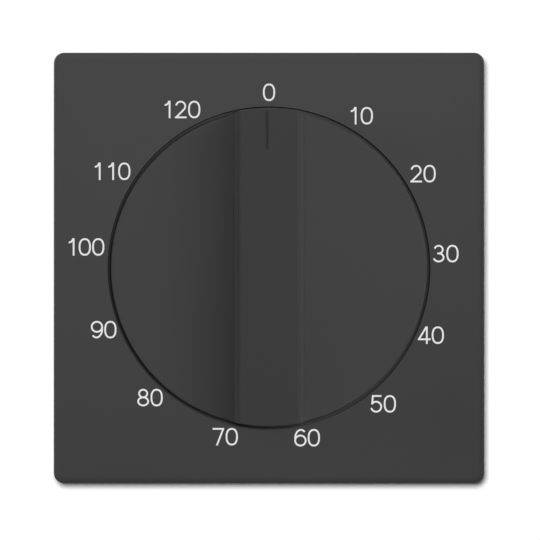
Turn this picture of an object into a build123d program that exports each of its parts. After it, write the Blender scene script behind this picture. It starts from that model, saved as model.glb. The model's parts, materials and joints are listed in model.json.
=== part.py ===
from build123d import *
import os
from math import acos, asin, cos, degrees, hypot, pi, radians, sin, sqrt, tan

# Bench frame: x right, y up, z out of the wall towards the user, wall plane at z = 0.
# Every piece is turned at the end so that the user looks along +Y and Z is up.

# Fits
running_fit = 0.04
easy_fit = 0.1
end_shake = 0.15

# Cover plate
plate_side = 63.0
plate_corner_r = 1.5
plate_edge_r = 1.0
plate_front = 10.0
plate_wall = 2.0
skirt_wall = 1.5
skirt_lift = 0.3
dial_gap = 0.45
recess_depth = 5.0
recess_wall = 1.2
latch_width = 6.0
latch_t = 1.4
latch_bite = 0.5

# Knob
dial_r = 23.15
disc_t = 2.2
disc_edge_r = 0.25
knob_wall = 1.4
bar_height = 10.0
bar_top_width = 9.0
bar_base_width = 10.3
bar_edge_r = 0.5
bar_end_r = 0.15
bar_wall = 1.8
bar_core = 7.0
hub_r = 5.5
pointer_length = 5.4
pointer_width = 0.5
pointer_depth = 0.4
pointer_offset = -0.35
pointer_margin = 0.6
clip_width = 3.4
clip_t = 0.6
dial_range = 330.0

# Support frame
frame_gap = 0.5
frame_t = 1.0
frame_corner_r = 3.0
wall_screw_inset = 4.5
wall_screw_hole_r = 2.1
frame_screw_count = 4
frame_screw_r = 1.0
frame_screw_head_r = 1.9
frame_screw_head_h = 1.0
screw_slot = 0.6

# Housing
housing_wall = 1.6
housing_edge_r = 0.8
housing_back_wall = 1.8
flange_gap = 0.8
flange_width = 5.2
flange_t = 1.6
groove_depth = 0.7
groove_height = 0.9
plate_ledge = 1.8
cover_t = 1.5
cover_hole_r = 5.0

# Movement plates and pillars
cover_gap = 0.5
movement_plate_t = 1.0
plate_spacing = 10.5
pillar_r = 1.5
tenon_r = 0.9
pillar_margin = 0.4
pillar_angles = (30.0, 95.0, 160.0, 290.0)

# Main shaft
shaft_r = 3.0
shaft_front = 9.0
shaft_flat = 2.2
pivot_r = 2.0
pivot_flat = 1.5
bush_wall = 1.4
collar_r = 4.2
collar_t = 0.8
circlip_t = 0.5
circlip_bite = 0.4
circlip_r = 4.4
circlip_open = 3.2
stop_pin_r = 0.5
stop_ring_r = 5.3
stop_arm_t = 0.8
stop_slack = 0.1

# Train, going from the main wheel to the escape wheel
pressure_angle = 20.0
addendum = 0.9
dedendum = 1.25
tooth_shift = 0.4
backlash = 0.05
main_teeth = 90
second_pinion_teeth = 9
second_teeth = 72
third_pinion_teeth = 8
third_teeth = 72
escape_pinion_teeth = 8
main_wheel_share = 0.57
second_module_share = 0.72
third_module_share = 0.65
second_angle = 215.0
layer_gap = 0.6
wheel_t = 0.6
main_wheel_t = 1.0
pinion_overlap = 0.2
arbor_r = 0.3
hub_wall = 0.22
arbor_clear = 0.4
window_ring = 0.58
window_size = 0.22
window_count = 5
clutch_t = 0.25
clutch_r = 6.0
clutch_dish = 0.35

# Escapement
escape_teeth = 15
escape_r = 4.5
escape_tooth_depth = 1.1
escape_tip_half = 0.1
escape_root_half = 0.32
pallet_pin_r = 0.22
pallet_lift_clear = 0.1
pallet_span = 3.5
lever_t = 0.5
lever_width = 0.9
lever_length = 6.0
roller_r = 1.2
impulse_pin_r = 0.25
fork_clear = 0.12
fork_width = 2.0
fork_depth = 0.7
fork_reach = 0.4
balance_r = 4.6
balance_rim = 1.0
balance_t = 1.0
staff_r = 0.8
staff_pivot_r = 0.35

# Springs
barrel_clear = 1.3
barrel_wall = 0.5
mainspring_t = 0.3
mainspring_turns = 7
hairspring_t = 0.12
hairspring_pitch = 0.5
hairspring_turns = 4
hairspring_h = 0.6
stud_r = 0.4

# Switch
cam_t = 2.6
cam_gap = 0.6
cam_notch = 1.8
blade_t = 0.35
blade_width = 2.2
blade_lift = 0.85
blade_dip = 2.15
blade_left = 13.5
blade_right = 9.9
bump_half = 2.6
rivet_r = 1.2
rivet_h = 0.9
contact_gap = 1.7
blade_rivet_r = 0.7
busbar_t = 0.8
busbar_h = 2.8
tab_wall_gap = 1.9

# Terminals
terminal_x = 7.5
terminal_side = 7.6
terminal_size = 6.5
terminal_recess = 2.5
terminal_gap = 0.2
terminal_setback = 1.2
wire_r = 1.6
wire_bore_wall = 1.0
terminal_screw_r = 1.5
terminal_screw_head_r = 2.6
terminal_screw_head_h = 1.6

# Levels along the axis, from the front to the back
bar_top = plate_front + bar_height
disc_back = plate_front - disc_t
recess_floor = plate_front - recess_depth
flange_top = frame_t + flange_t
cover_back = flange_top - cover_t
front_plate_top = cover_back - cover_gap
front_plate_back = front_plate_top - movement_plate_t
rear_plate_top = front_plate_back - plate_spacing
rear_plate_back = rear_plate_top - movement_plate_t
lever_top = front_plate_back - layer_gap
lever_back = lever_top - lever_t
escape_top = lever_back - layer_gap
escape_back = escape_top - wheel_t
third_top = escape_back - layer_gap
third_back = third_top - wheel_t
second_top = third_back - layer_gap
second_back = second_top - wheel_t
main_top = second_back - layer_gap
main_back = main_top - main_wheel_t
barrel_top = main_back - layer_gap
balance_top = lever_back - layer_gap
balance_back = balance_top - balance_t
roller_top = lever_back - easy_fit
cam_top = rear_plate_back - cam_gap
cam_back = cam_top - cam_t
ledge_back = cam_back - housing_wall - cam_gap
ledge_front = ledge_back + housing_wall
housing_depth = terminal_setback + terminal_size - ledge_back

# Radii and distances that follow from the sizes above
opening_r = dial_r + dial_gap
frame_side = plate_side - 2 * skirt_wall - 2 * frame_gap
wall_screw_pitch = frame_side - 2 * wall_screw_inset
flange_r = plate_side / 2 - skirt_wall - flange_gap
housing_r = flange_r - flange_width
housing_inner_r = housing_r - housing_wall
chamber_r = housing_inner_r - plate_ledge
movement_plate_r = housing_inner_r - 3 * easy_fit
frame_screw_ring_r = housing_r + flange_width / 2
pillar_ring_r = movement_plate_r - pillar_r - pillar_margin
main_module = 2 * main_wheel_share * movement_plate_r / main_teeth
second_module = second_module_share * main_module
third_module = third_module_share * main_module
main_tip_r = main_module * (main_teeth / 2 + addendum - tooth_shift)
hub_small_r = arbor_r + running_fit + hub_wall
arbor_ring_r = main_tip_r + staff_r + arbor_clear
barrel_r = arbor_ring_r - staff_r - barrel_clear
bush_r = shaft_r + bush_wall
pin_circle_r = escape_r + pallet_pin_r + pallet_lift_clear
pallet_half = pallet_span * 180.0 / escape_teeth
pallet_centre_distance = pin_circle_r / cos(radians(pallet_half))
pallet_arm = pin_circle_r * tan(radians(pallet_half))
tab_high = sqrt(chamber_r**2 - (terminal_x + busbar_t / 2) ** 2) - tab_wall_gap
tab_low = tab_high - busbar_h
blade_high = tab_low - contact_gap - 2 * rivet_h
blade_low = blade_high - blade_t
cam_r = blade_low - blade_lift
pocket_half = terminal_side / 2 + terminal_gap
terminal_top = sqrt(housing_r**2 - (terminal_x + pocket_half) ** 2) - terminal_recess
terminal_floor = terminal_top - terminal_size
wire_y = terminal_top - terminal_size / 2


def polar(radius, angle, at=(0.0, 0.0)):
    """Point at a radius and an angle in degrees around another point."""
    return (at[0] + radius * cos(radians(angle)), at[1] + radius * sin(radians(angle)))


def bearing(start, end):
    """Angle in degrees of the line from one point to another."""
    flat = degrees(acos((end[0] - start[0]) / hypot(end[0] - start[0], end[1] - start[1])))
    return flat if end[1] >= start[1] else -flat


def next_arbor(last, distance, ring_r):
    """Next point counter-clockwise on a ring about the main axis, at a distance from the last."""
    reach = hypot(*last)
    step = degrees(acos((reach**2 + ring_r**2 - distance**2) / (2 * reach * ring_r)))
    return polar(ring_r, bearing((0.0, 0.0), last) + step)


# Arbor positions
second_at = polar(main_module * (main_teeth + second_pinion_teeth) / 2, second_angle)
third_at = next_arbor(second_at, second_module * (second_teeth + third_pinion_teeth) / 2, arbor_ring_r)
escape_at = next_arbor(third_at, third_module * (third_teeth + escape_pinion_teeth) / 2, arbor_ring_r)
pallet_at = next_arbor(escape_at, pallet_centre_distance, arbor_ring_r)
balance_at = next_arbor(pallet_at, lever_length + roller_r, arbor_ring_r)
pillar_points = [polar(pillar_ring_r, angle) for angle in pillar_angles]
wheel_points = [second_at, third_at, escape_at, pallet_at]
frame_screw_angles = [k * 360.0 / frame_screw_count for k in range(frame_screw_count)]
frame_screw_points = [polar(frame_screw_ring_r, angle) for angle in frame_screw_angles]


def rod(radius, low, high, at=(0.0, 0.0)):
    """Round bar between two levels."""
    upright = (Align.CENTER, Align.CENTER, Align.MIN)
    return Pos(at[0], at[1], low) * Cylinder(radius, high - low, align=upright)


def tube(outer_r, inner_r, low, high, at=(0.0, 0.0)):
    """Round bar with a hole along it."""
    return rod(outer_r, low, high, at) - rod(inner_r, low, high, at)


def block(x0, x1, y0, y1, z0, z1):
    """Box between two corners."""
    return Pos(x0, y0, z0) * Box(x1 - x0, y1 - y0, z1 - z0, align=(Align.MIN, Align.MIN, Align.MIN))


def prism(face, low, high):
    """A flat outline drawn out between two levels."""
    return Pos(0, 0, low) * extrude(face, high - low, dir=(0, 0, 1))


def polygon(points):
    """Face inside a closed run of points."""
    return make_face(Polyline(*points, close=True))


def link(start, end, width, low, high):
    """Flat arm with round ends between two points."""
    middle = ((start[0] + end[0]) / 2, (start[1] + end[1]) / 2)
    slot = SlotCenterToCenter(hypot(end[0] - start[0], end[1] - start[1]), width)
    return prism(Pos(*middle) * Rot(0, 0, bearing(start, end)) * slot, low, high)


# Toothed wheels


def involute(angle):
    """Involute function of an angle in radians."""
    return tan(angle) - angle


def gear_face(teeth, module, shift, tooth_angle, at):
    """Spur gear outline with one tooth centred on the given angle."""
    flat = radians(pressure_angle)
    pitch_r = module * teeth / 2
    base_r = pitch_r * cos(flat)
    tip_r = pitch_r + module * (addendum + shift)
    root_r = pitch_r - module * (dedendum - shift)
    half = (pi / 2 + 2 * shift * tan(flat)) / teeth - backlash / (4 * pitch_r)
    foot_r = max(base_r, root_r)
    radii = [foot_r, (foot_r + tip_r) / 2, tip_r]
    flank = [(radius, half + involute(flat) - involute(acos(base_r / radius))) for radius in radii]
    if root_r < base_r:
        flank.insert(0, (root_r, flank[0][1]))
    points = []
    for tooth in range(teeth):
        middle = tooth_angle + tooth * 360.0 / teeth
        points += [polar(radius, middle - degrees(off), at) for radius, off in flank]
        points += [polar(radius, middle + degrees(off), at) for radius, off in reversed(flank)]
    return polygon(points)


def pierced(face, wheel_r, low, high, at):
    """Wheel lightened by round holes."""
    body = prism(face, low, high)
    for k in range(window_count):
        middle = polar(window_ring * wheel_r, k * 360.0 / window_count, at)
        body -= rod(window_size * wheel_r, low, high, middle)
    return body


def train_wheel(at, wheel, pinion_face, mate_top, mate_back):
    """Wheel and pinion moulded on one hollow hub that runs on a fixed arbor."""
    low = rear_plate_top + end_shake
    body = wheel + prism(pinion_face, mate_back - pinion_overlap, mate_top + pinion_overlap)
    body += rod(hub_small_r, low, front_plate_back - end_shake, at)
    return body - rod(arbor_r + running_fit, low, front_plate_back, at)


def second_wheel():
    """First wheel after the main wheel."""
    face = gear_face(second_teeth, second_module, -tooth_shift, bearing(second_at, third_at), second_at)
    wheel = pierced(face, second_module * second_teeth / 2, second_back, second_top, second_at)
    space = second_angle + 180.0 + 180.0 / second_pinion_teeth
    pinion = gear_face(second_pinion_teeth, main_module, tooth_shift, space, second_at)
    return train_wheel(second_at, wheel, pinion, main_top, main_back)


def third_wheel():
    """Wheel between the second wheel and the escape wheel."""
    face = gear_face(third_teeth, third_module, -tooth_shift, bearing(third_at, escape_at), third_at)
    wheel = pierced(face, third_module * third_teeth / 2, third_back, third_top, third_at)
    space = bearing(second_at, third_at) + 180.0 + 180.0 / third_pinion_teeth
    pinion = gear_face(third_pinion_teeth, second_module, tooth_shift, space, third_at)
    return train_wheel(third_at, wheel, pinion, second_top, second_back)


def escape_face():
    """Pointed teeth, set so that both pallet pins can dip a quarter pitch beside a tooth."""
    pitch = 360.0 / escape_teeth
    first = bearing(escape_at, pallet_at) + pallet_half - pitch / 4
    root_r = escape_r - escape_tooth_depth
    tip_off = degrees(escape_tip_half / escape_r)
    root_off = degrees(escape_root_half / root_r)
    points = []
    for tooth in range(escape_teeth):
        middle = first + tooth * pitch
        points.append(polar(root_r, middle - root_off, escape_at))
        points.append(polar(escape_r, middle - tip_off, escape_at))
        points.append(polar(escape_r, middle + tip_off, escape_at))
        points.append(polar(root_r, middle + root_off, escape_at))
    return polygon(points)


def escape_wheel():
    """Last wheel of the train."""
    wheel = pierced(escape_face(), escape_r - escape_tooth_depth, escape_back, escape_top, escape_at)
    space = bearing(third_at, escape_at) + 180.0 + 180.0 / escape_pinion_teeth
    pinion = gear_face(escape_pinion_teeth, third_module, tooth_shift, space, escape_at)
    return train_wheel(escape_at, wheel, pinion, third_top, third_back)


def main_wheel():
    """Large wheel on the main shaft."""
    centre = (0.0, 0.0)
    face = gear_face(main_teeth, main_module, -tooth_shift, second_angle, centre)
    body = pierced(face, main_module * main_teeth / 2, main_back, main_top, centre)
    return body - rod(shaft_r, main_back, main_top)


# Escapement


def pallet_lever():
    """Lever with two pallet arms and a fork for the balance's impulse pin."""
    to_escape = bearing(pallet_at, escape_at)
    to_balance = bearing(pallet_at, balance_at)
    body = rod(lever_width, lever_back, lever_top, pallet_at)
    for side in (-1, 1):
        tip = polar(pallet_arm, to_escape + side * (90.0 - pallet_half), pallet_at)
        body += link(pallet_at, tip, lever_width, lever_back, lever_top)
    fork_start = lever_length - fork_depth - fork_reach
    body += link(pallet_at, polar(fork_start, to_balance, pallet_at), lever_width, lever_back, lever_top)
    turn = Pos(pallet_at[0], pallet_at[1], 0) * Rot(0, 0, to_balance)
    half = fork_width / 2
    fork_end = lever_length + fork_reach
    body += turn * block(fork_start, fork_end, -half, half, lever_back, lever_top)
    slot = impulse_pin_r + fork_clear
    body -= turn * block(lever_length - fork_depth, fork_end, -slot, slot, lever_back, lever_top)
    body += rod(hub_small_r, rear_plate_top + end_shake, front_plate_back - end_shake, pallet_at)
    for point in pallet_pin_points():
        body -= rod(pallet_pin_r, lever_back, lever_top, point)
    return body - rod(arbor_r + running_fit, rear_plate_top, front_plate_back, pallet_at)


def pallet_pin_points():
    """The two pins stand where lines from the lever's arbor touch their circle about the escape wheel."""
    to_escape = bearing(pallet_at, escape_at)
    return [polar(pallet_arm, to_escape + side * (90.0 - pallet_half), pallet_at) for side in (-1, 1)]


def pallet_pins():
    """Two steel pins pressed into the lever."""
    return [rod(pallet_pin_r, escape_back - easy_fit, lever_top, point) for point in pallet_pin_points()]


def balance_wheel():
    """Rim, two arms and a hub."""
    body = tube(balance_r, balance_r - balance_rim, balance_back, balance_top, balance_at)
    across = bearing(pallet_at, balance_at) + 90.0
    ends = [polar(balance_r - balance_rim / 2, across + turn, balance_at) for turn in (0.0, 180.0)]
    body += link(ends[0], ends[1], balance_rim - 0.1, balance_back, balance_top)
    body += rod(2 * staff_r, balance_back, balance_top, balance_at)
    return body - rod(staff_r, balance_back, balance_top, balance_at)


def balance_staff():
    """Staff with a roller disc and an impulse pin."""
    body = rod(staff_r, rear_plate_top + end_shake, roller_top, balance_at)
    body += rod(staff_pivot_r, rear_plate_back, front_plate_top, balance_at)
    body += rod(roller_r + 2 * impulse_pin_r, balance_top, roller_top, balance_at)
    pin = polar(roller_r, bearing(balance_at, pallet_at), balance_at)
    return body + rod(impulse_pin_r, roller_top, lever_top + easy_fit, pin)


# Springs


def spiral(inner_r, pitch, turns, thickness, low, high):
    """Flat strip wound in half turns whose centres step to and fro by half the pitch."""
    inner = []
    outer = []
    for half_turn in range(2 * turns):
        centre = (0.0 if half_turn % 2 == 0 else pitch / 2, 0.0)
        radius = inner_r + half_turn * pitch / 2
        start = 180.0 * (half_turn % 2)
        inner.append(CenterArc(centre, radius - thickness / 2, start, 180.0))
        outer.append(CenterArc(centre, radius + thickness / 2, start, 180.0))
    caps = [Line(inner[0] @ 0, outer[0] @ 0), Line(inner[-1] @ 1, outer[-1] @ 1)]
    return prism(make_face(inner + outer + caps), low, high)


def mainspring():
    """Power spring from the main shaft to the wall of its barrel."""
    inner_r = shaft_r + mainspring_t / 2
    outer_r = barrel_r - barrel_wall - mainspring_t / 2
    pitch = (outer_r - inner_r) / mainspring_turns
    low = rear_plate_top + barrel_wall + easy_fit
    return spiral(inner_r, pitch, mainspring_turns, mainspring_t, low, barrel_top - easy_fit)


def spring_barrel():
    """Open cup around the power spring, fixed to the rear plate."""
    cup = rod(barrel_r, rear_plate_top, barrel_top)
    cup -= rod(barrel_r - barrel_wall, rear_plate_top + barrel_wall, barrel_top)
    return cup - rod(shaft_r + mainspring_t, rear_plate_top, barrel_top)


def hairspring_reach():
    """Radius of the hairspring's outer end."""
    return staff_r + hairspring_t / 2 + hairspring_turns * hairspring_pitch


def hairspring():
    """Fine spiral from the balance staff to its stud."""
    top = balance_back - layer_gap
    inner_r = staff_r + hairspring_t / 2
    coil = spiral(inner_r, hairspring_pitch, hairspring_turns, hairspring_t, top - hairspring_h, top)
    return Pos(balance_at[0], balance_at[1], 0) * Rot(0, 0, bearing((0.0, 0.0), balance_at)) * coil


def stud_point():
    """The stud stands outside the hairspring's end."""
    reach = hairspring_reach() + hairspring_t / 2 + stud_r
    return polar(reach, bearing((0.0, 0.0), balance_at), balance_at)


# Movement frame


def movement_plate(low, high, centre_r):
    """Round plate with holes for the pillars, arbors and staff."""
    body = tube(movement_plate_r, centre_r, low, high)
    for point in pillar_points:
        body -= rod(tenon_r, low, high, point)
    for point in wheel_points:
        body -= rod(arbor_r, low, high, point)
    return body - rod(staff_pivot_r + running_fit, low, high, balance_at)


def front_movement_plate():
    """Plate under the housing's cover."""
    body = movement_plate(front_plate_back, front_plate_top, bush_r)
    return body - rod(stop_pin_r, front_plate_back, front_plate_top, stop_pin_point())


def rear_movement_plate():
    """Plate on the ledge inside the housing."""
    body = movement_plate(rear_plate_back, rear_plate_top, pivot_r + bush_wall)
    return body - rod(stud_r, rear_plate_back, rear_plate_top, stud_point())


def pillar(point):
    """Spacer with a tenon at each end."""
    body = rod(pillar_r, rear_plate_top, front_plate_back, point)
    return body + rod(tenon_r, rear_plate_back, front_plate_top, point)


def shaft_bushes():
    """Front and rear bearings of the main shaft."""
    front = tube(bush_r, shaft_r + running_fit, front_plate_back, cover_back)
    rear = tube(pivot_r + bush_wall, pivot_r + running_fit, rear_plate_back, rear_plate_top)
    return [front, rear]


# Main shaft and what turns with it

collar_back = main_top + clutch_dish + clutch_t
circlip_low = cover_back + end_shake


def main_shaft():
    """Stepped shaft with a flat for the knob, a clip groove, a collar and a rear pivot with a flat."""
    body = rod(shaft_r, rear_plate_top + end_shake, shaft_front)
    body += rod(collar_r, collar_back, collar_back + collar_t)
    body += rod(pivot_r, cam_back - easy_fit, rear_plate_top + end_shake)
    body -= tube(shaft_r, shaft_r - circlip_bite, circlip_low, circlip_low + circlip_t)
    body -= block(-shaft_r, shaft_r, shaft_flat, shaft_r, flange_top, shaft_front)
    return body - block(-pivot_r, pivot_r, pivot_flat, pivot_r, cam_back - easy_fit, cam_top)


def shaft_circlip():
    """Open ring snapped into the shaft's groove."""
    body = tube(circlip_r, shaft_r - circlip_bite, circlip_low, circlip_low + circlip_t)
    half = circlip_open / 2
    return body - block(-half, half, -circlip_r, 0, circlip_low, circlip_low + circlip_t)


def stop_pin_point():
    """The pin stands halfway across the part of the turn that is barred."""
    return polar(stop_ring_r, 90.0 + (360.0 - dial_range) / 2)


def stop_pin():
    """Pin in the front plate that stops the arm."""
    return rod(stop_pin_r, front_plate_back - stop_arm_t - 3 * easy_fit, front_plate_top, stop_pin_point())


def stop_arm():
    """Collar with a finger that meets the stop pin at both ends of the dial's range."""
    top = front_plate_back - easy_fit
    half = (360.0 - dial_range) / 2 - degrees(asin(stop_pin_r / stop_ring_r)) - stop_slack
    tip_r = stop_ring_r + 2 * stop_pin_r
    corners = ((shaft_r, half), (tip_r, half), (tip_r, -half), (shaft_r, -half))
    finger = polygon([polar(radius, 90.0 + turn) for radius, turn in corners])
    body = rod(collar_r, top - stop_arm_t, top) + prism(finger, top - stop_arm_t, top)
    return body - rod(shaft_r, top - stop_arm_t, top)


def clutch_spring():
    """Dished washer between the shaft's collar and the main wheel."""
    section = [(shaft_r, collar_back - clutch_t), (shaft_r, collar_back), (collar_r, collar_back)]
    section += [(clutch_r, main_top + clutch_t), (clutch_r, main_top), (collar_r, collar_back - clutch_t)]
    profile = make_face(Polyline(*[(radius, 0, level) for radius, level in section], close=True))
    return revolve(profile, Axis.Z)


def switch_cam():
    """Disc with one notch that lets the contact blade drop at 0."""
    body = rod(cam_r, cam_back, cam_top)
    floor = cam_r - cam_notch
    rim = cam_r + cam_notch
    notch = [(-cam_notch, floor), (cam_notch, floor), (3 * cam_notch, rim), (-3 * cam_notch, rim)]
    body -= prism(polygon(notch), cam_back, cam_top)
    bore = rod(pivot_r, cam_back, cam_top) - block(-pivot_r, pivot_r, pivot_flat, pivot_r, cam_back, cam_top)
    return body - bore


def knob_bar():
    """Grip bar with drafted sides, cut to the disc's circle at both ends."""
    top = bar_top_width / 2
    base = bar_base_width / 2
    section = [(-base, 0, disc_back), (base, 0, disc_back), (base, 0, plate_front), (top, 0, bar_top)]
    section += [(-top, 0, bar_top), (-base, 0, plate_front)]
    wide = extrude(make_face(Polyline(*section, close=True)), dial_r, dir=(0, 1, 0), both=True)
    body = wide & rod(dial_r, disc_back, bar_top)
    body = fillet(body.faces().sort_by(Axis.Z)[-1].edges().filter_by(GeomType.LINE), bar_edge_r)
    return fillet(body.faces().sort_by(Axis.Z)[-1].edges().filter_by(GeomType.CIRCLE), bar_end_r)


def bar_hollow(side):
    """Space inside one half of the bar, open at the back."""
    top = bar_top_width / 2 - bar_wall
    base = bar_base_width / 2 - bar_wall
    roof = bar_top - bar_wall
    section = [(-base, 0, disc_back), (base, 0, disc_back), (top, 0, roof), (-top, 0, roof)]
    space = extrude(make_face(Polyline(*section, close=True)), side * dial_r, dir=(0, 1, 0))
    space &= rod(dial_r - bar_wall, disc_back, bar_top)
    return space - block(-dial_r, dial_r, -bar_core, bar_core, disc_back, bar_top)


def dial_knob():
    """Flush disc with a rim, a grip bar, a pointer groove and a hub for the shaft."""
    disc = rod(dial_r, disc_back, plate_front)
    body = fillet(disc.edges().sort_by(Axis.Z)[-1], disc_edge_r)
    rim_low = recess_floor + 4 * easy_fit
    body += tube(dial_r, dial_r - knob_wall, rim_low, disc_back)
    body += knob_bar()
    for side in (-1, 1):
        body -= bar_hollow(side)
    hub_low = flange_top + cover_gap
    body += rod(hub_r, hub_low, disc_back)
    outer = dial_r - pointer_margin
    left = pointer_offset - pointer_width / 2
    right = pointer_offset + pointer_width / 2
    body -= block(left, right, outer - pointer_length, outer, bar_top - pointer_depth, bar_top)
    bore_top = shaft_front + easy_fit
    bore = rod(shaft_r, hub_low, bore_top) - block(-shaft_r, shaft_r, shaft_flat, shaft_r, hub_low, bore_top)
    slot = clip_width / 2 + easy_fit
    bore += block(-slot, slot, shaft_flat, shaft_flat + clip_t, hub_low, bore_top)
    return body - bore


def knob_clip():
    """Leaf that presses the knob's hub against the shaft's flat."""
    half = clip_width / 2
    return block(-half, half, shaft_flat, shaft_flat + clip_t, flange_top + cover_gap, shaft_front)


# Cover plate


def latch(angle):
    """Leg with a barb that snaps into the groove round the housing's flange."""
    inner = flange_r + easy_fit
    half = latch_width / 2
    low = frame_t + 2 * easy_fit
    leg = block(inner, inner + latch_t, -half, half, low, plate_front - plate_wall)
    middle = frame_t + flange_t / 2
    barb = [(inner, 0, middle - latch_bite / 2), (inner - latch_bite, 0, middle)]
    barb.append((inner, 0, middle + latch_bite))
    leg += extrude(make_face(Polyline(*barb, close=True)), half, dir=(0, 1, 0), both=True)
    return Rot(0, 0, angle) * leg


def cover_plate():
    """Square shell with a dial recess, a hole for the knob's hub and four latches."""
    half = plate_side / 2
    body = block(-half, half, -half, half, skirt_lift, plate_front)
    body = fillet(body.edges().filter_by(Axis.Z), plate_corner_r)
    body = fillet(body.faces().sort_by(Axis.Z)[-1].edges(), plate_edge_r)
    inner = half - skirt_wall
    body -= block(-inner, inner, -inner, inner, skirt_lift, plate_front - plate_wall)
    floor_back = recess_floor - recess_wall
    body += rod(opening_r + recess_wall, floor_back, plate_front - plate_wall)
    body -= rod(opening_r, recess_floor, plate_front)
    body -= rod(hub_r + 4 * easy_fit, floor_back, recess_floor)
    for quarter in range(4):
        body += latch(45.0 + 90.0 * quarter)
    return body


# Support frame and housing


def support_frame():
    """Square steel frame with the wall screw holes in its corners."""
    half = frame_side / 2
    body = block(-half, half, -half, half, 0, frame_t)
    body = fillet(body.edges().filter_by(Axis.Z), frame_corner_r)
    body -= rod(housing_r + 2 * easy_fit, 0, frame_t)
    for x in (-wall_screw_pitch / 2, wall_screw_pitch / 2):
        for y in (-wall_screw_pitch / 2, wall_screw_pitch / 2):
            body -= rod(wall_screw_hole_r, 0, frame_t, (x, y))
    for point in frame_screw_points:
        body -= rod(frame_screw_r, 0, frame_t, point)
    return body


def frame_screw(point):
    """Pan-head screw with a straight slot."""
    body = rod(frame_screw_r, easy_fit, flange_top, point)
    head_top = flange_top + frame_screw_head_h
    body += rod(frame_screw_head_r, flange_top, head_top, point)
    half = screw_slot / 2
    slot_low = head_top - frame_screw_head_h / 2
    slot = block(-frame_screw_head_r, frame_screw_head_r, -half, half, slot_low, head_top)
    return body - Pos(point[0], point[1], 0) * slot


def terminal_pocket(x):
    """Space round one terminal, open upwards and to the back."""
    return block(x - pocket_half, x + pocket_half, terminal_floor, housing_r, -housing_depth, ledge_back)


def busbar_slot(x):
    """Slot that lets a busbar through to its terminal."""
    half = busbar_t / 2 + easy_fit
    high = tab_high + easy_fit
    return block(x - half, x + half, tab_low - easy_fit, high, ledge_back, ledge_front)


def insert_housing():
    """Flanged cup with a ledge for the movement, a switch chamber and two terminal pockets."""
    cup = rod(housing_r, -housing_depth, flange_top)
    cup = fillet(cup.edges().sort_by(Axis.Z)[0], housing_edge_r)
    body = cup + rod(flange_r, frame_t, flange_top)
    middle = frame_t + flange_t / 2
    body -= tube(flange_r, flange_r - groove_depth, middle - groove_height / 2, middle + groove_height / 2)
    body -= rod(housing_inner_r, rear_plate_back, flange_top)
    body -= rod(chamber_r, ledge_front, rear_plate_back)
    low_chamber = rod(chamber_r, housing_back_wall - housing_depth, ledge_front)
    roof = terminal_floor - housing_wall
    body -= low_chamber - block(-housing_r, housing_r, roof, housing_r, -housing_depth, ledge_front)
    for x in (-terminal_x, terminal_x):
        body -= terminal_pocket(x)
        body -= busbar_slot(x)
    for point in frame_screw_points:
        body -= rod(frame_screw_r + easy_fit, frame_t, flange_top, point)
    return body


def housing_cover():
    """Lid with a hole for the shaft and pads that press on the pillars."""
    body = rod(housing_inner_r - easy_fit, cover_back, flange_top)
    for point in pillar_points:
        body += rod(pillar_r, front_plate_top, cover_back, point)
    return body - rod(cover_hole_r, cover_back, flange_top)


# Switch and terminals

blade_front = cam_top - blade_width / 10
blade_rear = blade_front - blade_width
contact_x = blade_right - rivet_r


def moving_contact():
    """Spring blade with a vee that rides on the cam."""
    slope = blade_dip / bump_half
    inset = blade_t * (sqrt(1 + slope**2) - 1) / slope
    apex = blade_low - blade_dip
    vee = [(-bump_half, blade_low), (0.0, apex), (bump_half, blade_low)]
    lower = [(-blade_left, blade_low)] + vee + [(blade_right, blade_low)]
    upper = [(blade_right, blade_high), (bump_half - inset, blade_high)]
    upper += [(0.0, apex + blade_t * sqrt(1 + slope**2))]
    upper += [(inset - bump_half, blade_high), (-blade_left, blade_high)]
    body = prism(polygon(lower + upper), blade_rear, blade_front)
    return body - upright_rod(blade_rivet_r, blade_low, blade_high, anchor_x())


def upright_rod(radius, low, high, x):
    """Round bar along y in the middle of the blade's width."""
    lying = Rot(-90, 0, 0) * rod(radius, 0, high - low)
    return Pos(x, low, (blade_front + blade_rear) / 2) * lying


def anchor_x():
    """Middle of the blade's riveted end."""
    return -(blade_left + terminal_x) / 2


def blade_rivet():
    """Rivet through the busbar's foot and the blade."""
    top = blade_high + busbar_t
    body = upright_rod(blade_rivet_r, blade_low, top, anchor_x())
    head_r = 1.7 * blade_rivet_r
    body += upright_rod(head_r, top, top + busbar_t / 2, anchor_x())
    return body + upright_rod(head_r, blade_low - busbar_t / 2, blade_low, anchor_x())


def line_busbar():
    """Foot over the blade's end, a riser and a tab to the terminal."""
    left = -terminal_x - busbar_t / 2
    right = -terminal_x + busbar_t / 2
    body = block(-blade_left, right, blade_high, blade_high + busbar_t, blade_rear, blade_front)
    body += block(left, right, blade_high, tab_high, blade_rear, blade_front)
    body += block(left, right, tab_low, tab_high, ledge_back, blade_rear)
    return body - upright_rod(blade_rivet_r, blade_high, blade_high + busbar_t, anchor_x())


def load_busbar():
    """Strip that carries the fixed contact, and a tab to the terminal."""
    left = terminal_x - busbar_t / 2
    right = terminal_x + busbar_t / 2
    near = contact_x - 2 * rivet_r
    strip = block(near, contact_x + rivet_r, tab_low, tab_low + busbar_t, blade_rear, blade_front)
    return strip + block(left, right, tab_low, tab_high, ledge_back, blade_front)


def terminal_parts(x):
    """Clamp block with a wire bore from the back and a screw hole from above."""
    half = terminal_side / 2
    back = ledge_back - terminal_size
    middle = (ledge_back + back) / 2
    body = block(x - half, x + half, terminal_floor, terminal_top, back, ledge_back)
    body -= rod(wire_r, back, ledge_back - wire_bore_wall, (x, wire_y))
    hole = Rot(-90, 0, 0) * rod(terminal_screw_r, 0, terminal_top - wire_y)
    return body - Pos(x, wire_y, middle) * hole


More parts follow.
